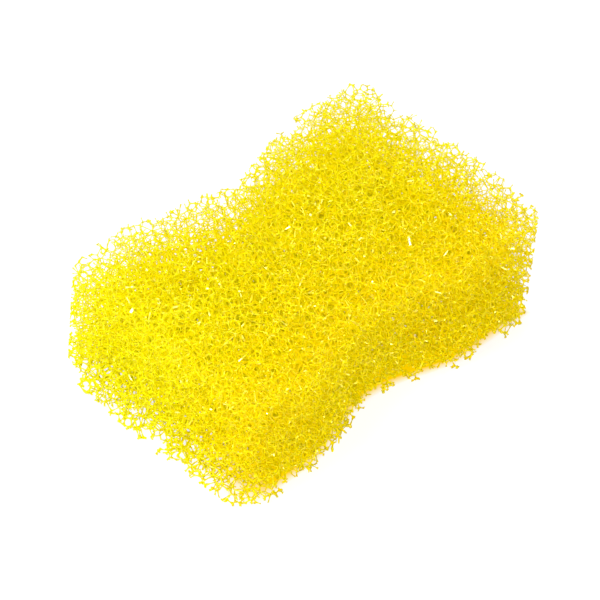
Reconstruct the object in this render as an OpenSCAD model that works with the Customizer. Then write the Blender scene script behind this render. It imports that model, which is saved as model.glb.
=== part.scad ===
// Cleaning sponge of open-cell foam, with a waist on each long side for the grip.
// It is cut from one block, so the top, the underside and the walls are all cut faces.
// Each cell that a cut has opened is a hollow, and the ridges between the hollows are
// the struts that the cells share. Millimetres, +X along the length, +Z up, and the
// origin is on the underside, below the middle.

/* [Body] */
// Length from end to end
body_l = 120; // [90:1:130]
// Width across the two lobes
body_w = 76; // [60:1:84]
// Thickness
body_t = 40; // [24:1:45]

/* [Outline from above] */
// Depth of the waist on each long side
waist_d = 7; // [0:0.5:14]
// Length of the waist, from one lobe to the other
waist_l = 66; // [40:1:72]
// Radius of the four corners
corner_r = 10; // [5:0.5:16]
// How far the middle of each end stands out from its corners
end_bow = 1; // [0:0.25:4]

/* [Open cells] */
// Width of a cell at the surface
cell_w = 5.2; // [5:0.1:9]
// Depth of a cell's hollow below its ridges
cell_d = 7; // [1.5:0.1:8]
// How far a ridge's ends stray from an even pattern, as a share of a cell
stray = 0.17; // [0:0.01:0.22]
// Width of the flat ridges that the sponge rests on
land_w = 1.1; // [0.6:0.1:1.4]

/* [Hidden] */
foam_yellow = [0.96, 0.85, 0.08];
stray_seed = 19;
depth_seed = 57;
depth_spread = 0.22;

// Cells lie in rows, like bricks, with each row half a cell along from the last.
// The rows run along the length and close round the body: over the top, down a wall,
// back under the body and up the other wall. Two more patches of rows close the ends.
row_h = cell_w * sqrt(3) / 2;
cells_l = round(body_l / cell_w);
rows_w = round(body_w / row_h);
rows_t = 2 * round((body_t / row_h - 1) / 2) + 1;
rows = 2 * (rows_w + rows_t);
halves_l = 2 * cells_l;
halves_w = 2 * rows_w;
line_points = halves_l + 1;
band_points = rows * line_points;
end_points = (rows_t - 1) * (halves_w - 1);
zigzag = 1 / 6;

// Outline from above, as two curves that meet halfway round each corner. Both take a
// share from -1 to 1 of the way along their side.
side_flat = body_l / 2 - end_bow - corner_r;
end_flat = body_w / 2 - corner_r;
half_corner = corner_r * PI / 4;

function waist(x) = abs(x) < waist_l / 2 ? waist_d * (1 + cos(360 * x / waist_l)) / 2 : 0;

function bow(y) = end_bow * (1 - cos(180 * y / end_flat)) / 2;

function turn(way, flat) = max(0, way - flat) / corner_r * 180 / PI;

function long_side(share) =
    let (way = abs(share) * (side_flat + half_corner))
    let (angle = turn(way, side_flat))
    let (x = min(way, side_flat) + corner_r * sin(angle))
    [sign(share) * x, body_w / 2 - waist(min(x, side_flat)) - corner_r * (1 - cos(angle))];

function end_side(share) =
    let (way = abs(share) * (end_flat + half_corner))
    let (angle = turn(way, end_flat))
    let (y = min(way, end_flat))
    [body_l / 2 - bow(y) - corner_r * (1 - cos(angle)), sign(share) * (y + corner_r * sin(angle))];

// A point of the body from its shares of length, width and thickness, each -1 to 1.
// The four curves are blended across the middle, so no cell is squeezed at a corner.
function body_point(at) =
    let (side = long_side(at.x), end = end_side(at.y), corner = long_side(1))
    [
        side.x + at.x * (end.x - corner.x),
        at.y * (side.y - corner.y) + end.y,
        body_t * (1 + at.z) / 2,
    ];

// Shares of width and thickness after so many rows round the body
function round_body(row) =
    row <= rows_w ? [2 * row / rows_w - 1, 1]
    : row <= rows_w + rows_t ? [1, 1 - 2 * (row - rows_w) / rows_t]
    : row <= 2 * rows_w + rows_t ? [1 - 2 * (row - rows_w - rows_t) / rows_w, -1]
    : [-1, 2 * (row - 2 * rows_w - rows_t) / rows_t - 1];

function is_body_edge(row) =
    row == 0 || row == rows_w || row == rows_w + rows_t || row == 2 * rows_w + rows_t;

// Ridge ends, first round the body and then at the two ends
strays = rands(-stray, stray, 2 * (band_points + 2 * end_points), stray_seed);

function lean(line, half) = (line + half) % 2 == 0 ? zigzag : -zigzag;

function band_place(line, half) =
    let (at_end = half == 0 || half == halves_l)
    let (number = 2 * (line * line_points + half))
    let (along = at_end ? 0 : strays[number])
    let (across = is_body_edge(line) ? 0 : strays[number + 1] + (at_end ? 0 : lean(line, half)))
    let (section = round_body(line + across))
    [(half + 2 * along) / cells_l - 1, section.x, section.y];

function end_place(end, line, half) =
    let (number = 2 * (band_points + (end > 0 ? end_points : 0) + end_number(line, half)))
    let (across = line + strays[number + 1] + lean(line, half))
    [end, (half + 2 * strays[number]) / rows_w - 1, 1 - 2 * across / rows_t];

function end_number(line, half) = (line - 1) * (halves_w - 1) + half - 1;

places = concat(
    [for (line = [0:rows - 1], half = [0:halves_l]) band_place(line, half)],
    [for (end = [-1, 1], line = [1:rows_t - 1], half = [1:halves_w - 1]) end_place(end, line, half)]
);

// Which of those points stands at a place on the band or on an end
function band_index(line, half) = (line % rows) * line_points + half;

function end_index(end, line, half) =
    let (rim = end > 0 ? halves_l : 0)
    line == 0 ? band_index(half / 2, rim)
    : line == rows_t ? band_index(2 * rows_w + rows_t - half / 2, rim)
    : half == 0 ? band_index(rows - line, rim)
    : half == halves_w ? band_index(rows_w + line, rim)
    : band_points + (end > 0 ? end_points : 0) + end_number(line, half);

// First and last half cell of each cell in a row
function row_cells(row, halves) =
    row % 2 == 0
    ? [for (half = [0:2:halves - 2]) [half, half + 2]]
    : [for (half = [-1:2:halves - 1]) [max(half, 0), min(half + 2, halves)]];

// A cell's rim, as the indexes of its ridge ends
function band_rim(row, cell) = concat(
    [for (half = [cell[0]:cell[1]]) band_index(row, half)],
    [for (half = [cell[1]:-1:cell[0]]) band_index(row + 1, half)]
);

function end_line(end, line, cell) =
    let (stride = line == 0 || line == rows_t ? 2 : 1)
    [for (half = [cell[0]:stride:cell[1]]) end_index(end, line, half)];

function backwards(list) = [for (i = [len(list) - 1:-1:0]) list[i]];

function end_rim(end, row, cell) =
    let (rim = concat(end_line(end, row, cell), backwards(end_line(end, row + 1, cell))))
    end > 0 ? backwards(rim) : rim;

function is_rest_row(row) = row >= rows_w + rows_t && row < 2 * rows_w + rows_t && row % 2 == 0;

rest_rims = [
    for (row = [0:rows - 1]) if (is_rest_row(row))
        for (cell = row_cells(row, halves_l)) band_rim(row, cell)
];
open_rims = concat(
    [
        for (row = [0:rows - 1]) if (!is_rest_row(row))
            for (cell = row_cells(row, halves_l)) band_rim(row, cell)
    ],
    [
        for (end = [-1, 1], row = [0:rows_t - 1])
            for (cell = row_cells(row, halves_w)) end_rim(end, row, cell)
    ]
);
rims = concat(rest_rims, open_rims);

// A hollow sinks from its rim's middle towards the inside of the body, so that two
// hollows on either side of an edge lean away from each other.
inner_shares = [for (size = [body_l, body_w, body_t]) max(0, 1 - 4 * cell_d / size)];
depths = rands(1 - depth_spread, 1 + depth_spread, len(rims), depth_seed);

function middle(list) = list * [for (i = list) 1] / len(list);

function mean(list) = [for (axis = [0:2]) middle([for (item = list) item[axis]])];

function inner(at) = [
    for (axis = [0:2]) max(-inner_shares[axis], min(inner_shares[axis], at[axis]))
];

function hollow_end(rim, depth) =
    let (from = mean([for (i = rim) points_on_skin[i]]))
    let (to = body_point(inner(mean([for (i = rim) places[i]]))))
    from + depth * cell_d * (to - from) / norm(to - from);

points_on_skin = [for (at = places) body_point(at)];
hollow_ends = [for (i = [0:len(rims) - 1]) hollow_end(rims[i], depths[i])];

// Inner edge of the flat ridges, six points to a cell
rim_slots = 6;
land_share = land_w / cell_w;

function land_points(rim) =
    let (from = mean([for (i = rim) points_on_skin[i]]))
    [for (i = [0:rim_slots - 1]) let (p = points_on_skin[rim[i]]) p + land_share * (from - p)];

land_edges = [for (rim = rest_rims) each land_points(rim)];
first_hollow = len(points_on_skin);
first_land = first_hollow + len(hollow_ends);

function fan(rim, tip) = [for (i = [0:len(rim) - 1]) [rim[(i + 1) % len(rim)], rim[i], tip]];

function land_ring(rim, edge) = [
    for (i = [0:len(rim) - 1])
        let (next = (i + 1) % len(rim))
        each [[rim[next], rim[i], edge[next]], [edge[next], rim[i], edge[i]]]
];

function land_index(cell) = [
    for (i = [0:len(rest_rims[cell]) - 1]) first_land + cell * rim_slots + i
];

module sponge() {
    land_faces = [
        for (cell = [0:len(rest_rims) - 1]) each land_ring(rest_rims[cell], land_index(cell))
    ];
    rest_faces = [
        for (cell = [0:len(rest_rims) - 1]) each fan(land_index(cell), first_hollow + cell)
    ];
    open_faces = [
        for (cell = [0:len(open_rims) - 1])
            each fan(open_rims[cell], first_hollow + len(rest_rims) + cell)
    ];
    color(foam_yellow)
        polyhedron(
            points = concat(points_on_skin, hollow_ends, land_edges),
            faces = concat(land_faces, rest_faces, open_faces)
        );
}

sponge();
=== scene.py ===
"""Dresses a waisted cleaning sponge with its real web of foam struts.

Coarse open-cell foam is what is left when the skins between bubbles are gone: a strut
stands wherever three bubbles met, and four struts meet in a joint. Here the bubbles are
scattered and pushed apart, the joints are the points that lie equally far from four
bubbles, and the web is cut to the sponge's shape, as a knife cuts the block.
"""

import math

import bpy
import numpy as np
from bpy.props import FloatProperty, FloatVectorProperty, IntProperty, PointerProperty
from mathutils import Matrix, Vector


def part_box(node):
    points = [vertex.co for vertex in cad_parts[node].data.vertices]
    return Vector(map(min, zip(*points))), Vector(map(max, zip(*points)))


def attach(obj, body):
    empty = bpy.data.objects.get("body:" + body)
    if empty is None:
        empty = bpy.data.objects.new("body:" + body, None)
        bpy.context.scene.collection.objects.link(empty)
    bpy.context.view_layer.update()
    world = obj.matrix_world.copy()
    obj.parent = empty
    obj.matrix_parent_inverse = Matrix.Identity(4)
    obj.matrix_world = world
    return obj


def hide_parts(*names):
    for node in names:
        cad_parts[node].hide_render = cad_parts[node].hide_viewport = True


bl_info = {
    "name": "Open-Cell Cleaning Sponge",
    "version": (1, 0, 0),
    "blender": (4, 5, 0),
    "location": "3D View > Sidebar > Sponge",
    "description": "Fills a cut sponge with its web of foam struts, and sets it on a stage",
    "category": "Object",
}

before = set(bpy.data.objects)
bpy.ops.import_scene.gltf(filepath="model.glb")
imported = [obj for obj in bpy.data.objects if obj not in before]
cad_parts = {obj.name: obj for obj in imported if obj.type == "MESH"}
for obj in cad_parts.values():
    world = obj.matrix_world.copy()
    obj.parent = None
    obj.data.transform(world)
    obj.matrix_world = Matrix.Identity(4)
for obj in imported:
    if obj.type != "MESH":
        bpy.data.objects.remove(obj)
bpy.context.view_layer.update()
SPONGE_LOW, SPONGE_HIGH = (np.array(corner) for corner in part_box("sponge"))
SPONGE_SIZE = SPONGE_HIGH - SPONGE_LOW


def length_property(name, description, default):
    return FloatProperty(
        name=name, description=description, default=default, subtype="DISTANCE", unit="LENGTH"
    )


def angle_property(name, description, degrees):
    return FloatProperty(
        name=name, description=description, default=math.radians(degrees), subtype="ANGLE"
    )


def share_property(name, description, default, highest=1.0):
    return FloatProperty(name=name, description=description, default=default, min=0.0, max=highest)


def colour_property(name, description, default):
    return FloatVectorProperty(
        name=name, description=description, default=default, subtype="COLOR", min=0, max=1
    )


class SpongeCut(bpy.types.PropertyGroup):
    """The shape that the sponge is cut to"""

    length: length_property("Length", "From end to end", SPONGE_SIZE[0])
    width: length_property("Width", "Across the two lobes", SPONGE_SIZE[1])
    thickness: length_property("Thickness", "From the underside to the top", SPONGE_SIZE[2])
    waist_depth: length_property("Waist Depth", "Of the waist on each long side", 0.007)
    waist_length: length_property("Waist Length", "From one lobe to the other", 0.066)
    corner_radius: length_property("Corner Radius", "Of the four corners, seen from above", 0.010)
    end_bow: length_property("End Bow", "How far an end's middle stands out", 0.001)


class SpongeFoam(bpy.types.PropertyGroup):
    """The foam's cells and struts"""

    cell_width: length_property("Cell Width", "Edge of a cube as large as a cell", 0.0030)
    inner_cell_width: length_property("Inner Cell Width", "The same, in the middle", 0.00425)
    widening_from: length_property("Widening From", "Depth at which cells begin to widen", 0.0045)
    widening_to: length_property("Widening To", "Depth at which they are widest", 0.0085)
    strut_reach: length_property("Strut Reach", "From its axis to its edges, at a joint", 0.000195)
    strut_waist: share_property("Strut Waist", "Thickness halfway along, beside that at the ends", 0.44)
    tip_thickness: share_property("Tip Thickness", "Of a cut end, beside that at its joint", 1.05, 2.0)
    skin_thickening: share_property("Skin Thickening", "How much is added at the cut faces", 0.45)
    skin_depth: length_property("Skin Depth", "Depth at which that has faded away", 0.0024)
    drainage: share_property("Drainage", "How much drained liquid adds at the underside", 0.65)
    drained_height: length_property("Drained Height", "Height at which that has faded away", 0.028)
    straight_below: length_property("Straight Below", "Depth below which struts have no waist", 0.0016)
    tear_depth: length_property("Tear Depth", "How far in the knife tore cells out", 0.0022)
    tear_share: share_property("Tear Share", "How many of those cells it tore out", 0.08)
    seed: IntProperty(name="Seed", description="Chooses where the bubbles lie", default=4)


class SpongeFinish(bpy.types.PropertyGroup):
    """Colours and gloss of the foam"""

    yellow: colour_property("Yellow", "Main colour of the struts", (0.985, 0.80, 0.0))
    pale_yellow: colour_property("Pale Yellow", "Where the dye took less", (0.99, 0.83, 0.003))
    # Painted light: the struts at the left end are made a paler, greener yellow, as if whiter light
    # fell on that end.
    lemon_painted_light: colour_property("Lemon", "Struts at the left end", (0.985, 0.87, 0.002))
    # Darker golden yellow: random speckles, and painted shade on struts deep inside and towards the
    # near side.
    ochre_tone_and_shade: colour_property("Ochre", "Struts deep inside and at the near side", (0.98, 0.69, 0.0))
    gloss_tint: colour_property("Gloss Tint", "Of the light that the skin reflects", (1.0, 0.96, 0.4))
    roughness: share_property("Roughness", "Of the smooth struts", 0.2)
    glow_through: share_property("Glow Through", "How much light goes on under the skin", 0.8)


class SpongeStage(bpy.types.PropertyGroup):
    """Floor, light and camera"""

    floor_colour: colour_property("Floor", "Pale floor", (0.60, 0.60, 0.60))
    floor_lift: share_property("Floor Lift", "How much whiter the floor looks to the camera", 0.5)
    # Painted light and shade: the floor under the near wall is given this yellow, in its colour and its
    # glow to the camera. The next two lengths say where along the sponge that begins and where it is
    # full.
    painted_floor_light_colour: colour_property("Glow", "Floor that light reaches through the foam", (0.72, 0.49, 0.0))
    painted_floor_light_from: length_property("Glow From", "Where along the sponge that begins", -0.056)
    painted_floor_light_full: length_property("Glow Full", "Where along the sponge it is full", -0.044)
    ambient: share_property("Ambient", "Even light from all sides", 0.22)
    azimuth: angle_property("Azimuth", "Of the camera, from the middle of the near side", -49.38)
    elevation: angle_property("Elevation", "Of the camera", 45.27)
    roll: angle_property("Roll", "Of the camera", 5.6)
    distance: length_property("Distance", "From the camera to the middle of the sponge", 1.457)
    pixels_per_mm: FloatProperty(
        name="Pixels per mm", description="At the middle of the sponge", default=3.605
    )


IMAGE_WIDTH = 600
SENSOR_MM = 36.0
# Where the sponge's middle lies in the picture, in pixels right of and below its centre
MIDDLE_RIGHT, MIDDLE_BELOW = 3.1, -8.6
FLOOR_WIDTH = 6
FLOOR_GAP = 0.0002

# Each lamp's azimuth and elevation in degrees, distance, width and level. The key light
# is narrow and stands at the camera, so that it reaches whatever the camera sees.
KEY_WIDTH, KEY_LEVEL = 0.02, 0.89
SOFT_LAMPS = {
    "fill": (-105, 60, 1.3, 0.5, 0.37),
    "back": (150, 40, 1.3, 0.8, 0.27),
}

# How the struts get thicker as cells get wider
THICKENING_POWER = 2.6
# The sponge is filled with bubbles to this many cells past its faces
MARGIN_CELLS = 1.5
# A window's rounded corner takes up no more than this share of its shorter strut, and
# lies no further from the joint than this many times the struts' reach
CORNER_SHARE, CORNER_REACH = 0.36, 2.2
# Of a cut strut: the least share that stays, the share from which it has a waist, and
# where along it that waist is
SHORTEST_STUB, WAISTED_STUB, STUB_WAIST_AT = 0.03, 0.66, 0.45
# Of a torn strut: the least share that stays, and how much more may stay
TORN_STUB, TORN_STUB_MORE = 0.3, 0.5
# How a star of struts is laid flat for baking: its slant, and the share of its square
BAKE_SLANT, BAKE_SHARE = (0.5, 0.35), 0.4


class Cut:
    """The sponge's outer shape, as a distance that is negative inside."""

    def __init__(self, sizes):
        self.half_length = sizes.length / 2
        self.half_width = sizes.width / 2
        self.half_thickness = sizes.thickness / 2
        self.waist_depth = sizes.waist_depth
        self.waist_length = sizes.waist_length
        self.corner = sizes.corner_radius
        self.bow = sizes.end_bow

    def outside(self, points):
        """How far outside the sponge each point is"""
        x, y = np.abs(points[:, 0]), np.abs(points[:, 1])
        flat_end = self.half_width - self.corner
        end = self.half_length - self.bow * (1 - np.cos(np.pi * np.minimum(y, flat_end) / flat_end)) / 2
        turn = np.minimum(x / self.waist_length, 0.5) * 2 * np.pi
        side = self.half_width - self.waist_depth * (1 + np.cos(turn)) / 2
        slope = self.waist_depth * np.pi / self.waist_length * np.sin(turn)
        past_end = x - end
        past_side = (y - side) / np.sqrt(1 + slope**2)
        into_corner = np.maximum(past_end + self.corner, 0), np.maximum(past_side + self.corner, 0)
        round_corner = np.hypot(*into_corner) - self.corner
        in_corner = (into_corner[0] > 0) & (into_corner[1] > 0)
        past_outline = np.where(in_corner, round_corner, np.maximum(past_end, past_side))
        past_faces = np.abs(points[:, 2] - self.half_thickness) - self.half_thickness
        return np.maximum(past_outline, past_faces)

    def trim(self, points):
        """Brings the few points that stand proud of a cut face back onto it"""
        step = 1e-6
        for _ in range(3):
            proud = np.flatnonzero(self.outside(points) > 0)
            spot = points[proud]
            here = self.outside(spot)
            way = np.stack([(self.outside(spot + step * axis) - here) / step for axis in np.eye(3)], 1)
            way /= np.maximum(np.linalg.norm(way, axis=1), 1e-6)[:, None]
            points[proud] = spot - here[:, None] * way
        return points


def bubble_width(points, cut, foam):
    """Width of the cells at each point: fine at the cut faces, wider where nothing shows"""
    depth = -cut.outside(points)
    share = np.clip((depth - foam.widening_from) / (foam.widening_to - foam.widening_from), 0, 1)
    ease = share * share * (3 - 2 * share)
    return foam.cell_width + (foam.inner_cell_width - foam.cell_width) * ease


def strut_reach(joints, cut, foam):
    """Reach of the struts at each joint: a middling one where they have no waist"""
    depth = -cut.outside(joints)
    skin = 1 + foam.skin_thickening * np.clip(1 - depth / foam.skin_depth, 0, 1)
    height = joints[:, 2] - SPONGE_LOW[2]
    drained = 1 + foam.drainage * np.clip(1 - height / foam.drained_height, 0, 1)
    straight = np.clip(depth / foam.straight_below - 0.5, 0, 1)
    middling = 1 - straight * (1 - foam.strut_waist) / 2
    widening = (bubble_width(joints, cut, foam) / foam.cell_width) ** THICKENING_POWER
    return foam.strut_reach * skin * drained * middling * widening


def scatter_bubbles(cut, foam):
    """Random bubble centres in the sponge and a little beyond its faces"""
    draw = np.random.default_rng(foam.seed)
    margin = MARGIN_CELLS * foam.cell_width
    low, high = SPONGE_LOW - margin, SPONGE_HIGH + margin
    count = int(np.prod((high - low) / foam.cell_width))
    points = low + draw.random((count, 3)) * (high - low)
    crowding = (foam.cell_width / bubble_width(points, cut, foam)) ** 3
    return points[(cut.outside(points) < margin) & (draw.random(count) < crowding)]


def nearest(points, count, reach):
    """Indexes and distances of the nearest other points, nearest first, found in cubic bins"""
    bins = np.floor((points - points.min(0)) / reach).astype(np.int64) + 1
    span = bins.max(0) + 2
    key = (bins[:, 0] * span[1] + bins[:, 1]) * span[2] + bins[:, 2]
    order = np.argsort(key, kind="stable")
    around = [(i, j, k) for i in (-1, 0, 1) for j in (-1, 0, 1) for k in (-1, 0, 1)]
    steps = np.array([(i * span[1] + j) * span[2] + k for i, j, k in around])
    first = np.searchsorted(key[order], key[:, None] + steps)
    last = np.searchsorted(key[order], key[:, None] + steps, side="right")
    slots = np.arange((last - first).max())
    near = np.empty((len(points), count), np.int64)
    distance = np.empty((len(points), count))
    block = 4000
    for start in range(0, len(points), block):
        rows = np.arange(start, min(start + block, len(points)))
        places = first[rows][:, :, None] + slots
        candidates = order[np.minimum(places, len(points) - 1)].reshape(len(rows), -1)
        apart = points[candidates] - points[rows, None]
        squared = np.einsum("ijk,ijk->ij", apart, apart)
        unreal = (places >= last[rows][:, :, None]).reshape(len(rows), -1)
        squared[unreal | (candidates == rows[:, None])] = np.inf
        chosen = np.argpartition(squared, count, axis=1)[:, :count]
        chosen_squared = np.take_along_axis(squared, chosen, 1)
        ranks = np.argsort(chosen_squared, axis=1)
        distance[rows] = np.sqrt(np.take_along_axis(chosen_squared, ranks, 1))
        near[rows] = np.take_along_axis(np.take_along_axis(candidates, chosen, 1), ranks, 1)
    return near, distance


def push_apart(points, cut, foam, rounds=14):
    """Lets the bubbles push each other into an even, random packing"""
    neighbours, touching, firmness = 14, 1.12, 0.35
    for _ in range(rounds):
        width = bubble_width(points, cut, foam)
        near, distance = nearest(points, neighbours, touching * width.max())
        real = np.isfinite(distance)
        wanted = touching * (width[:, None] + width[near]) / 2
        push = np.where(real, np.maximum(wanted - distance, 0), 0)
        away = (points[:, None] - points[near]) / np.where(real, distance, 1)[:, :, None]
        points = points + firmness * np.einsum("ijk,ij->ik", away, push)
    return points


def sphere_through(a, b, c, d):
    """Centre and squared radius of the sphere through four points"""
    u, v, w = b - a, c - a, d - a
    vw = np.cross(v, w)
    size = 2 * np.einsum("ij,ij->i", u, vw)
    uu, vv, ww = (np.einsum("ij,ij->i", edge, edge) for edge in (u, v, w))
    with np.errstate(divide="ignore", invalid="ignore"):
        offset = uu[:, None] * vw + vv[:, None] * np.cross(w, u) + ww[:, None] * np.cross(u, v)
        offset /= size[:, None]
    return a + offset, np.einsum("ij,ij->i", offset, offset)


def empty_spheres(points, owner, centre, squared, near):
    """Which spheres hold none of their owners' near neighbours"""
    alive = np.arange(len(owner))
    for slot in range(near.shape[1]):
        apart = points[near[owner[alive], slot]] - centre[alive]
        alive = alive[np.einsum("ij,ij->i", apart, apart) > squared[alive] * (1 - 1e-9)]
    return alive


def meeting_bubbles(points, cut, foam):
    """Every four bubbles that meet in a joint, and the joint: the middle of an empty sphere"""
    neighbours, furthest, widest_sphere, batch = 34, 2.15, 1.25, 600000
    width = bubble_width(points, cut, foam)
    near, distance = nearest(points, neighbours, furthest * width.max())
    near = np.where(np.isfinite(distance), near, near[:, :1])
    count, slots = near.shape
    largest = widest_sphere * width
    triples = np.array([(i, j, k) for k in range(slots) for j in range(k) for i in range(j)])
    later = np.sort(np.where(near > np.arange(count)[:, None], near, count), axis=1)
    amount = (later < count).sum(1)
    groups, joints = [], []
    rows_by_amount = [np.flatnonzero(amount == n) for n in range(3, slots + 1)]
    for n, rows in enumerate(rows_by_amount, start=3):
        few = triples[triples[:, 2] < n]
        for part in np.array_split(rows, 1 + len(rows) * len(few) // batch):
            others = later[part][:, few].reshape(-1, 3)
            owner = np.repeat(part, len(few))
            b, c, d = (points[others[:, i]] for i in range(3))
            limit = 2 * largest[owner]
            spans = [np.linalg.norm(p - q, axis=1) < limit for p, q in ((b, c), (b, d), (c, d))]
            keep = np.flatnonzero(spans[0] & spans[1] & spans[2])
            owner, others = owner[keep], others[keep]
            centre, squared = sphere_through(points[owner], b[keep], c[keep], d[keep])
            small = np.flatnonzero(squared < largest[owner] ** 2)
            owner, others = owner[small], others[small]
            centre, squared = centre[small], squared[small]
            alive = empty_spheres(points, owner, centre, squared, near)
            group = np.column_stack([owner[alive], others[alive]])
            centre, squared = centre[alive], squared[alive]
            for member in (1, 2, 3):
                alive = empty_spheres(points, group[:, member], centre, squared, near)
                group, centre, squared = group[alive], centre[alive], squared[alive]
            groups.append(group)
            joints.append(centre)
    return np.concatenate(groups), np.concatenate(joints)


# A joint's four bubbles are numbered 0 to 3. A window lies between two bubbles, and a
# strut between three, so strut n is the one that leaves bubble n out. Each row below is
# an even reordering of the bubbles, which keeps every face's outside outside.
WINDOWS = ((0, 1), (0, 2), (0, 3), (1, 2), (1, 3), (2, 3))
WINDOW_NUMBER = np.full((4, 4), -1)
for number, (one, two) in enumerate(WINDOWS):
    WINDOW_NUMBER[one, two] = WINDOW_NUMBER[two, one] = number
LEFT_OUT_FIRST = ((0, 1, 2, 3), (1, 0, 3, 2), (2, 3, 0, 1), (3, 2, 1, 0))


class Web:
    """Joints, struts and the points where the struts' edges meet in each window."""

    def __init__(self, bubbles, groups, joints, reach):
        corners = bubbles[groups]
        spread = corners[:, 1:] - corners[:, :1]
        turned = np.einsum("ij,ij->i", np.cross(spread[:, 0], spread[:, 1]), spread[:, 2]) < 0
        groups[turned] = groups[turned][:, [0, 1, 3, 2]]
        self.bubbles, self.groups, self.joints = bubbles, groups, joints
        self.mates = self.find_mates()
        self.ways, self.lengths = self.strut_ways()
        self.corners = self.window_corners(reach)

    def find_mates(self):
        """The joint at the other end of each strut, or -1"""
        total = len(self.bubbles)
        keys = np.empty((len(self.groups), 4), np.int64)
        for left_out, *three in LEFT_OUT_FIRST:
            a, b, c = np.sort(self.groups[:, three], axis=1).T
            keys[:, left_out] = (a * total + b) * total + c
        flat = keys.ravel()
        order = np.argsort(flat, kind="stable")
        same = np.flatnonzero(flat[order][1:] == flat[order][:-1])
        mates = np.full(flat.shape, -1)
        mates[order[same]] = order[same + 1] // 4
        mates[order[same + 1]] = order[same] // 4
        return mates.reshape(-1, 4)

    def strut_ways(self):
        """Direction of each strut away from its joint, and its length"""
        corners = self.bubbles[self.groups]
        ways = np.empty((len(corners), 4, 3))
        for left_out, one, two, three in LEFT_OUT_FIRST:
            way = np.cross(corners[:, two] - corners[:, one], corners[:, three] - corners[:, one])
            way /= np.linalg.norm(way, axis=1)[:, None]
            outward = np.einsum("ij,ij->i", way, corners[:, one] - corners[:, left_out])
            ways[:, left_out] = way * np.sign(outward)[:, None]
        run = self.joints[self.mates] - self.joints[:, None]
        lengths = np.where(self.mates < 0, np.inf, np.linalg.norm(run, axis=2))
        return ways, lengths

    def window_corners(self, reach):
        """A point inside each window's corner at each joint, where two struts' edges meet"""
        edges = np.empty((len(self.joints), 6, 3))
        for number, pair in enumerate(WINDOWS):
            one, two = (n for n in range(4) if n not in pair)
            middle = self.ways[:, one] + self.ways[:, two]
            size = np.linalg.norm(middle, axis=1)
            cosine = np.clip(size / 2, 1e-3, 1)
            sine = np.sqrt(np.clip(1 - cosine**2, 1e-4, 1))
            shorter = np.minimum(self.lengths[:, one], self.lengths[:, two])
            step = np.minimum(reach / sine, CORNER_SHARE * shorter / cosine)
            step = np.minimum(step, CORNER_REACH * reach)
            edges[:, number] = self.joints + middle / np.maximum(size, 1e-6)[:, None] * step[:, None]
        return edges

    def hanging_together(self, kept):
        """Of the kept joints, those that hang together with most of the foam"""
        start, strut = np.nonzero(self.mates >= 0)
        end = self.mates[start, strut]
        linked = kept[start] & kept[end]
        start, end = start[linked], end[linked]
        label = np.where(kept, np.arange(len(kept)), len(kept))
        while True:
            lowest = label.copy()
            np.minimum.at(lowest, start, label[end])
            lowest[kept] = lowest[lowest[kept]]
            if (lowest == label).all():
                break
            label = lowest
        names, sizes = np.unique(label[kept], return_counts=True)
        return kept & (label == names[np.argmax(sizes)])


class Surface:
    """Points and faces of the web. Each face belongs to the star of half struts round a joint."""

    def __init__(self, points):
        self.parts, self.count = [points], len(points)
        self.rows = {3: [], 4: []}
        self.stars = {3: [], 4: []}

    def point(self, places):
        """New points, and their numbers"""
        self.parts.append(places)
        self.count += len(places)
        return np.arange(self.count - len(places), self.count)

    def face(self, star, *corners):
        self.rows[len(corners)].append(np.column_stack(corners))
        self.stars[len(corners)].append(star)

    def sides(self, star, near, far):
        """Three quads between two rings of a strut, whose points lie in its three windows"""
        for n in range(3):
            self.face(star, near[n - 1], near[n], far[n], far[n - 1])

    def end(self, star, ring):
        self.face(star, ring[2], ring[0], ring[1])

    def all_faces(self, sides):
        return np.concatenate(self.rows[sides]), np.concatenate(self.stars[sides])


def ring_points(near, far, share, thickness):
    """A strut's ring between its two end rings, with its thickness beside theirs"""
    ring = near + share[:, None] * (far - near)
    centre = ring.mean(0)
    return centre + thickness * (ring - centre)


def cut_share(near, far, cut):
    """How far along from near to far the knife passes"""
    from_near, from_far = cut.outside(near), cut.outside(far)
    crosses = (from_near < 0) & (from_far > 0)
    share = np.where(crosses, from_near / np.where(crosses, from_near - from_far, -1), 1.0)
    for _ in range(2):
        there = cut.outside(near + share[:, None] * (far - near))
        share = np.where(crosses, share * from_near / np.minimum(from_near - there, -1e-9), share)
    share = np.where((from_far > 0) & (from_near >= 0), SHORTEST_STUB, share)
    return np.clip(share, SHORTEST_STUB, 1)


def waist_ring(surface, near, far, place, foam):
    """A new ring where a strut is thinnest, at a place between 0 and 1 along it"""
    ring = ring_points(near, far, np.full(near.shape[1], place), foam.strut_waist)
    return np.array([surface.point(points) for points in ring])


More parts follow.
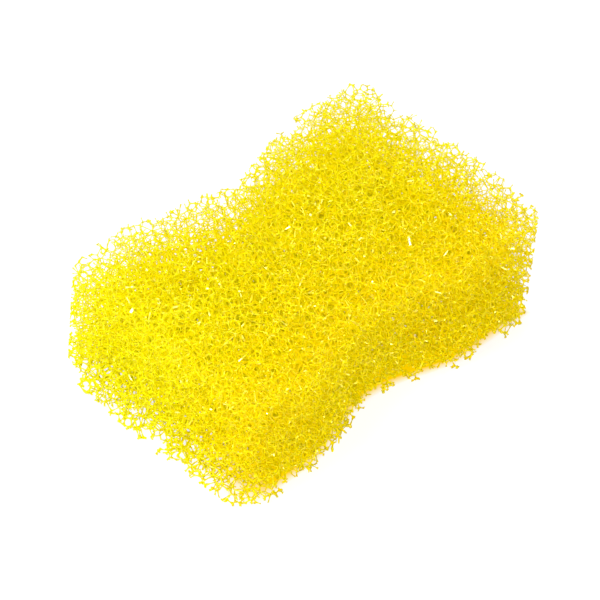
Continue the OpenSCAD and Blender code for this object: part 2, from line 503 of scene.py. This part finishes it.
def web_surface(web, cut, foam, piece_of_joint):
    """The whole web, closed joint by joint and strut by strut"""
    draw = np.random.default_rng(foam.seed + 1)
    depth = -cut.outside(web.joints)
    torn_cell = draw.random(len(web.bubbles)) < foam.tear_share
    torn = (depth < foam.tear_depth) & torn_cell[web.groups].any(1)
    kept = web.hanging_together((depth > 0) & ~torn)
    deep = depth > foam.straight_below
    joint = np.arange(len(kept))
    surface = Surface(web.corners.reshape(-1, 3))
    corners = surface.parts[0]
    pairs = ((0, 1), (1, 2), (2, 0))
    for left_out, *here in LEFT_OUT_FIRST:
        held = joint[kept]
        surface.face(held, *(6 * held + WINDOW_NUMBER[left_out, here[n]] for n in (0, 2, 1)))

        mate = web.mates[:, left_out]
        there = [np.argmax(web.groups[mate] == web.groups[:, [n]], axis=1) for n in here]
        near = np.array([6 * joint + WINDOW_NUMBER[here[a], here[b]] for a, b in pairs])
        far = np.array([6 * mate + WINDOW_NUMBER[there[a], there[b]] for a, b in pairs])

        whole = kept & (mate >= 0) & kept[mate] & (joint < mate)
        same_piece = piece_of_joint == piece_of_joint[mate]
        straight = np.flatnonzero(whole & deep & deep[mate] & same_piece)
        surface.sides(straight, near[:, straight], far[:, straight])

        waisted = np.flatnonzero(whole & ~(deep & deep[mate] & same_piece))
        start, stop = corners[near[:, waisted]], corners[far[:, waisted]]
        middle = waist_ring(surface, start, stop, 0.5, foam)
        surface.sides(waisted, near[:, waisted], middle)
        surface.sides(mate[waisted], middle, far[:, waisted])
        border = ~same_piece[waisted]
        surface.end(waisted[border], middle[:, border])
        surface.end(mate[waisted[border]], middle[::-1, border])

        cut_off = np.flatnonzero(kept & (mate >= 0) & ~kept[mate])
        start, stop = corners[near[:, cut_off]], corners[far[:, cut_off]]
        share = cut_share(start.mean(0), stop.mean(0), cut)
        stub = TORN_STUB + TORN_STUB_MORE * draw.random(len(cut_off))
        share = np.where(depth[mate[cut_off]] > 0, stub, share)
        tip_points = ring_points(start, stop, share, foam.tip_thickness)
        tips = np.array([surface.point(points) for points in tip_points])
        long = share > WAISTED_STUB
        middle = waist_ring(surface, start[:, long], stop[:, long], STUB_WAIST_AT, foam)
        surface.sides(cut_off[~long], near[:, cut_off[~long]], tips[:, ~long])
        surface.sides(cut_off[long], near[:, cut_off[long]], middle)
        surface.sides(cut_off[long], middle, tips[:, long])
        surface.end(cut_off, tips)

        bare = np.flatnonzero(kept & (mate < 0))
        surface.end(bare, near[:, bare])
    points = cut.trim(np.concatenate(surface.parts))
    return points, surface


PIECE_NAMES = (
    "foam_left_lower",
    "foam_left_upper",
    "foam_waist_lower",
    "foam_waist_upper",
    "foam_right_lower",
    "foam_right_upper",
)


def share_out(joints, cut):
    """Number of the piece each joint belongs to: a third of the length, below or above"""
    inside = joints[cut.outside(joints) < 0]
    thirds = np.quantile(inside[:, 0], (1 / 3, 2 / 3))
    middle = np.median(inside[:, 2])
    return np.searchsorted(thirds, joints[:, 0]) * 2 + (joints[:, 2] > middle)


def walk_order(places, width=0.004):
    """Order that keeps neighbours near each other, row by row of small blocks"""
    block = np.floor((places - places.min(0)) / width).astype(np.int64)
    y = np.where(block[:, 0] % 2 == 0, block[:, 1], -block[:, 1])
    z = np.where((block[:, 0] + block[:, 1]) % 2 == 0, block[:, 2], -block[:, 2])
    return np.lexsort((places[:, 2], z, y, block[:, 0]))


def patch_map(mesh, offsets, patch):
    """A map for baking: each star is laid flat in a small square of its own"""
    across = math.ceil(math.sqrt(patch.max() + 1))
    row = patch // across
    column = np.where(row % 2 == 0, patch % across, across - 1 - patch % across)
    flat = offsets[:, :2] + offsets[:, 2:] * BAKE_SLANT
    largest = np.zeros(patch.max() + 1)
    np.maximum.at(largest, patch, np.abs(flat).max(1))
    inside = 0.5 + BAKE_SHARE * flat / largest[patch][:, None]
    places = (np.column_stack([column, row]) + inside) / across
    layer = mesh.uv_layers.new(name="OFBake")
    layer.uv.foreach_set("vector", places.astype(np.float32).ravel())


def make_mesh(name, points, surface, joints, joint_in_piece, cut):
    """One closed piece of the web as a Blender mesh"""
    padded, stars = [], []
    for sides in (3, 4):
        rows, star = surface.all_faces(sides)
        here = joint_in_piece[star]
        padded.append(np.column_stack([rows[here], np.full((here.sum(), 4 - sides), -1)]))
        stars.append(star[here])
    padded, stars = np.concatenate(padded), np.concatenate(stars)
    members, star_number = np.unique(stars, return_inverse=True)
    patch_of_member = np.empty(len(members), np.int64)
    patch_of_member[walk_order(joints[members])] = np.arange(len(members))
    patch = patch_of_member[star_number.ravel()]
    order = np.argsort(patch, kind="stable")
    padded, stars, patch = padded[order], stars[order], patch[order]
    sides = (padded >= 0).sum(1)
    used, corners = np.unique(padded[padded >= 0], return_inverse=True)
    corners = corners.ravel()
    place = points[used]

    mesh = bpy.data.meshes.new(name)
    mesh.vertices.add(len(place))
    mesh.vertices.foreach_set("co", place.astype(np.float32).ravel())
    mesh.loops.add(len(corners))
    mesh.loops.foreach_set("vertex_index", corners.astype(np.int32))
    mesh.polygons.add(len(sides))
    mesh.polygons.foreach_set("loop_start", (np.cumsum(sides) - sides).astype(np.int32))
    depth = mesh.attributes.new("depth", "FLOAT", "POINT")
    depth.data.foreach_set("value", np.maximum(-cut.outside(place), 0).astype(np.float32))
    mesh.update(calc_edges=True)
    mesh.validate()
    mesh.shade_flat()
    offsets = place[corners] - joints[np.repeat(stars, sides)]
    patch_map(mesh, offsets, np.repeat(patch, sides))
    return mesh


class Value:
    """A shader socket that can be used in sums, so that node maths reads as maths."""

    def __init__(self, maker, socket):
        self.maker, self.socket = maker, socket

    def maths(self, operation, *others):
        inputs = dict(enumerate((self, *others)))
        return self.maker.node("ShaderNodeMath", {"operation": operation}, inputs)

    def __add__(self, other):
        return self.maths("ADD", other)

    def __sub__(self, other):
        return self.maths("SUBTRACT", other)

    def __mul__(self, other):
        return self.maths("MULTIPLY", other)

    def __neg__(self):
        return self * -1.0

    def __rsub__(self, other):
        return -self + other

    def clamped(self, low, high):
        """0 at low and 1 at high, held between them"""
        ends = {"Value": self, "From Min": low, "From Max": high}
        return self.maker.node("ShaderNodeMapRange", {"clamp": True}, ends, "Result")

    __radd__ = __add__
    __rmul__ = __mul__


class Shading:
    """The nodes of a material or a world, with one method that adds any node."""

    def __init__(self, data):
        data.use_nodes = True
        self.data = data
        self.nodes, self.links = data.node_tree.nodes, data.node_tree.links
        self.nodes.clear()

    def node(self, kind, settings=None, inputs=None, output=0):
        made = self.nodes.new(kind)
        for key, value in (settings or {}).items():
            setattr(made, key, value)
        for key, value in (inputs or {}).items():
            if isinstance(value, Value):
                self.links.new(value.socket, made.inputs[key])
            else:
                made.inputs[key].default_value = value
        return Value(self, made.outputs[output]) if made.outputs else None

    def mixed(self, share, first, second):
        """A colour between two others"""
        settings = {"data_type": "RGBA", "clamp_factor": True}
        return self.node("ShaderNodeMix", settings, {0: share, 6: first, 7: second}, 2)

    def noise(self, place, size, detail=2.0):
        """Smooth noise from 0 to 1 whose blotches measure about size"""
        inputs = {"Vector": place, "Scale": 1 / size, "Detail": detail}
        return self.node("ShaderNodeTexNoise", None, inputs)

    def coordinates(self, place, *axes):
        """The place's coordinates along the given axes"""
        return [self.node("ShaderNodeSeparateXYZ", None, {"Vector": place}, axis) for axis in axes]

    def finish(self, shader, output="ShaderNodeOutputMaterial"):
        self.node(output, None, {"Surface": shader})
        return self.data


def opaque(colour):
    return (*colour, 1.0)


def foam_material(finish):
    """Dyed foam with glossy struts, plus painted light and shade: paler yellow at the left end, darker
    golden yellow deep inside and at the near side
    """
    material = Shading(bpy.data.materials.new("yellow_foam"))
    place = material.node("ShaderNodeTexCoord", output="Object")
    x, y = material.coordinates(place, "X", "Y")
    depth = material.node("ShaderNodeAttribute", {"attribute_name": "depth"}, output="Fac")
    patch_size, speckle_size = 0.014, 0.0011
    patchy = material.noise(place, patch_size).clamped(0.35, 0.68)
    speckle = material.noise(place, speckle_size, 1.0).clamped(0.3, 0.7)
    # Painted light: share of the paler, greener yellow, rising towards the left end.
    painted_light_left_end = (-x).clamped(0.012, 0.05)
    # Painted shade: share of the darker golden yellow, rising towards the near side.
    painted_shade_near_side = (-y).clamped(-0.004, 0.034)
    # Painted shade: struts deep inside turn a darker golden yellow, standing in for the shade between
    # the struts.
    inside = depth.clamped(0.0012, 0.008)

    uneven = patchy * 0.6 + speckle * 0.4
    dye = material.mixed(uneven, opaque(finish.yellow), opaque(finish.pale_yellow))
    # From here the colour also holds the painted light at the left end.
    dye = material.mixed(painted_light_left_end, dye, opaque(finish.lemon_painted_light))
    # Darker golden yellow from random speckles, plus painted shade deep inside and at the near side.
    tone_and_shade_share = painted_shade_near_side * 0.6 + inside * 0.35 + (1.0 - speckle) * 0.10
    colour = material.mixed(tone_and_shade_share, dye, opaque(finish.ochre_tone_and_shade))
    roughness = finish.roughness - 0.08 + speckle * 0.10 + patchy * 0.06
    skin = {
        "Base Color": colour,
        "Roughness": roughness,
        "IOR": 1.5,
        "Specular IOR Level": 0.4,
        "Specular Tint": opaque(finish.gloss_tint),
        "Subsurface Weight": finish.glow_through,
        "Subsurface Scale": 0.0004,
        "Subsurface Radius": (1.0, 0.9, 0.1),
    }
    return material.finish(material.node("ShaderNodeBsdfPrincipled", None, skin))


class SPONGE_OT_add_foam(bpy.types.Operator):
    """Fill the cut sponge with its web of struts, in six pieces that meet strut by strut"""

    bl_idname = "sponge.add_foam"
    bl_label = "Add Foam"

    def execute(self, context):
        sizes, foam = context.scene.sponge_cut, context.scene.sponge_foam
        cut = Cut(sizes)
        bubbles = push_apart(scatter_bubbles(cut, foam), cut, foam)
        groups, joints = meeting_bubbles(bubbles, cut, foam)
        reach = strut_reach(joints, cut, foam)
        web = Web(bubbles, groups, joints, reach)
        piece_of_joint = share_out(joints, cut)
        points, surface = web_surface(web, cut, foam, piece_of_joint)
        material = foam_material(context.scene.sponge_finish)
        for number, name in enumerate(PIECE_NAMES):
            mesh = make_mesh(name, points, surface, joints, piece_of_joint == number, cut)
            mesh.materials.append(material)
            piece = bpy.data.objects.new(name, mesh)
            context.scene.collection.objects.link(piece)
            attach(piece, "root")
            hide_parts("sponge")
        return {"FINISHED"}


def painted_floor_light_mask(material, sizes, stage):
    """How far the floor is painted yellow, as painted light and shade: beneath the near wall, but for
    its left end
    """
    place = material.node("ShaderNodeTexCoord", output="Object")
    x, y = material.coordinates(place, "X", "Y")
    along = x.maths("ABSOLUTE")
    half_waist = sizes.waist_length / 2
    turn = along.maths("MINIMUM", half_waist) * (math.pi / half_waist)
    waist = (turn.maths("COSINE") + 1.0) * (sizes.waist_depth / 2)
    past_end = along - sizes.length / 2
    past_near_side = waist - y - sizes.width / 2
    covered = 1.0 - past_end.maths("MAXIMUM", past_near_side).clamped(-0.005, -0.002)
    near_wall = 1.0 - (-past_near_side).clamped(0.012, 0.030)
    return covered * near_wall * x.clamped(stage.painted_floor_light_from, stage.painted_floor_light_full)


def floor_material(sizes, stage):
    """A matt pale floor that looks white to the camera and takes the shadow, with a painted
    yellow glow and shade beneath the near wall, for the light that comes down through the foam there"""
    material = Shading(bpy.data.materials.new("pale_floor"))
    painted_floor_light_share, white = painted_floor_light_mask(material, sizes, stage), (1.0, 1.0, 1.0, 1.0)
    to_camera = material.node("ShaderNodeLightPath", output="Is Camera Ray")
    # Painted light and shade: under the near wall the floor's colour and its glow to the camera turn
    # yellow.
    colour = material.mixed(painted_floor_light_share, opaque(stage.floor_colour), opaque(stage.painted_floor_light_colour))
    matt = material.node("ShaderNodeBsdfDiffuse", None, {"Color": colour})
    lift = {
        "Color": material.mixed(painted_floor_light_share, white, opaque(stage.painted_floor_light_colour)),
        "Strength": to_camera * stage.floor_lift,
    }
    lifted = material.node("ShaderNodeEmission", None, lift)
    return material.finish(material.node("ShaderNodeAddShader", None, {0: matt, 1: lifted}))


def direction(azimuth, elevation):
    """Towards a lamp or a camera, with azimuth 0 in front of the sponge's near long side"""
    return Vector((
        math.cos(elevation) * math.sin(azimuth),
        -math.cos(elevation) * math.cos(azimuth),
        math.sin(elevation),
    ))


def add_lamp(name, middle, towards, distance, width, level):
    """A round lamp that faces the middle, where a level of 1 shows a white card as white"""
    data = bpy.data.lights.new(name, "AREA")
    data.shape = "DISK"
    data.size = width
    data.energy = level * (math.pi * distance) ** 2
    lamp = bpy.data.objects.new(name, data)
    bpy.context.scene.collection.objects.link(lamp)
    lamp.location = middle + towards * distance
    lamp.rotation_euler = towards.to_track_quat("Z", "Y").to_euler()


def set_world(ambient):
    """White to the camera and in reflections, and an even light of the given strength"""
    world = Shading(bpy.data.worlds.new("studio"))
    seen = 0.0
    for ray in ("Is Camera Ray", "Is Glossy Ray", "Is Transmission Ray"):
        seen = world.node("ShaderNodeLightPath", output=ray) + seen
    strength = seen.clamped(0.0, 1.0) * (1.0 - ambient) + ambient
    sky = world.node("ShaderNodeBackground", None, {"Strength": strength})
    bpy.context.scene.world = world.finish(sky, "ShaderNodeOutputWorld")


def camera_axes(azimuth, elevation, roll):
    """Right, up and backward directions of the camera"""
    back = direction(azimuth, elevation)
    right = Vector((math.cos(azimuth), math.sin(azimuth), 0))
    up = back.cross(right)
    turned_right = right * math.cos(roll) + up * math.sin(roll)
    turned_up = up * math.cos(roll) - right * math.sin(roll)
    return turned_right, turned_up, back


class SPONGE_OT_add_stage(bpy.types.Operator):
    """Set up the pale floor, the soft lights and the camera"""

    bl_idname = "sponge.add_stage"
    bl_label = "Add Stage"

    def execute(self, context):
        stage = context.scene.sponge_stage
        middle = Vector((SPONGE_LOW + SPONGE_HIGH) / 2)

        bpy.ops.object.select_all(action="DESELECT")
        height = SPONGE_LOW[2] - FLOOR_GAP
        bpy.ops.mesh.primitive_plane_add(size=FLOOR_WIDTH, location=(0, 0, height))
        floor = context.object
        floor.name = "floor"
        bpy.ops.object.transform_apply(location=True, rotation=False, scale=False)
        floor.data.materials.append(floor_material(context.scene.sponge_cut, stage))

        set_world(stage.ambient)
        to_camera = direction(stage.azimuth, stage.elevation)
        add_lamp("key", middle, to_camera, stage.distance, KEY_WIDTH, KEY_LEVEL)
        for name, (azimuth, elevation, distance, width, level) in SOFT_LAMPS.items():
            towards = direction(math.radians(azimuth), math.radians(elevation))
            add_lamp(name, middle, towards, distance, width, level)

        right, up, back = camera_axes(stage.azimuth, stage.elevation, stage.roll)
        metres_per_pixel = 0.001 / stage.pixels_per_mm
        aim = middle - right * MIDDLE_RIGHT * metres_per_pixel
        aim += up * MIDDLE_BELOW * metres_per_pixel
        data = bpy.data.cameras.new("camera")
        data.sensor_width = SENSOR_MM
        data.lens = stage.pixels_per_mm * stage.distance * 1000 / IMAGE_WIDTH * SENSOR_MM
        data.clip_end = 20
        camera = bpy.data.objects.new("camera", data)
        context.scene.collection.objects.link(camera)
        axes = Matrix((right, up, back)).transposed()
        camera.matrix_world = Matrix.Translation(aim + back * stage.distance) @ axes.to_4x4()
        context.scene.camera = camera
        context.scene.view_settings.view_transform = "Standard"
        return {"FINISHED"}


class SPONGE_PT_sidebar(bpy.types.Panel):
    """Sizes, finish and the steps that build the sponge"""

    bl_label = "Cleaning Sponge"
    bl_idname = "SPONGE_PT_sidebar"
    bl_space_type = "VIEW_3D"
    bl_region_type = "UI"
    bl_category = "Sponge"

    def draw(self, context):
        for group in GROUPS:
            values = getattr(context.scene, group)
            self.layout.label(text=GROUPS[group].__doc__)
            for name in GROUPS[group].__annotations__:
                self.layout.prop(values, name)
        for operator in OPERATORS:
            self.layout.operator(operator.bl_idname)


GROUPS = {
    "sponge_cut": SpongeCut,
    "sponge_foam": SpongeFoam,
    "sponge_finish": SpongeFinish,
    "sponge_stage": SpongeStage,
}
OPERATORS = (SPONGE_OT_add_stage, SPONGE_OT_add_foam)
CLASSES = (*GROUPS.values(), *OPERATORS, SPONGE_PT_sidebar)


def register():
    for item in CLASSES:
        bpy.utils.register_class(item)
    for name, group in GROUPS.items():
        setattr(bpy.types.Scene, name, PointerProperty(type=group))


def unregister():
    for name in GROUPS:
        delattr(bpy.types.Scene, name)
    for item in reversed(CLASSES):
        bpy.utils.unregister_class(item)


def main():
    register()
    bpy.ops.sponge.add_stage()
    bpy.ops.sponge.add_foam()


if __name__ == "__main__":
    main()
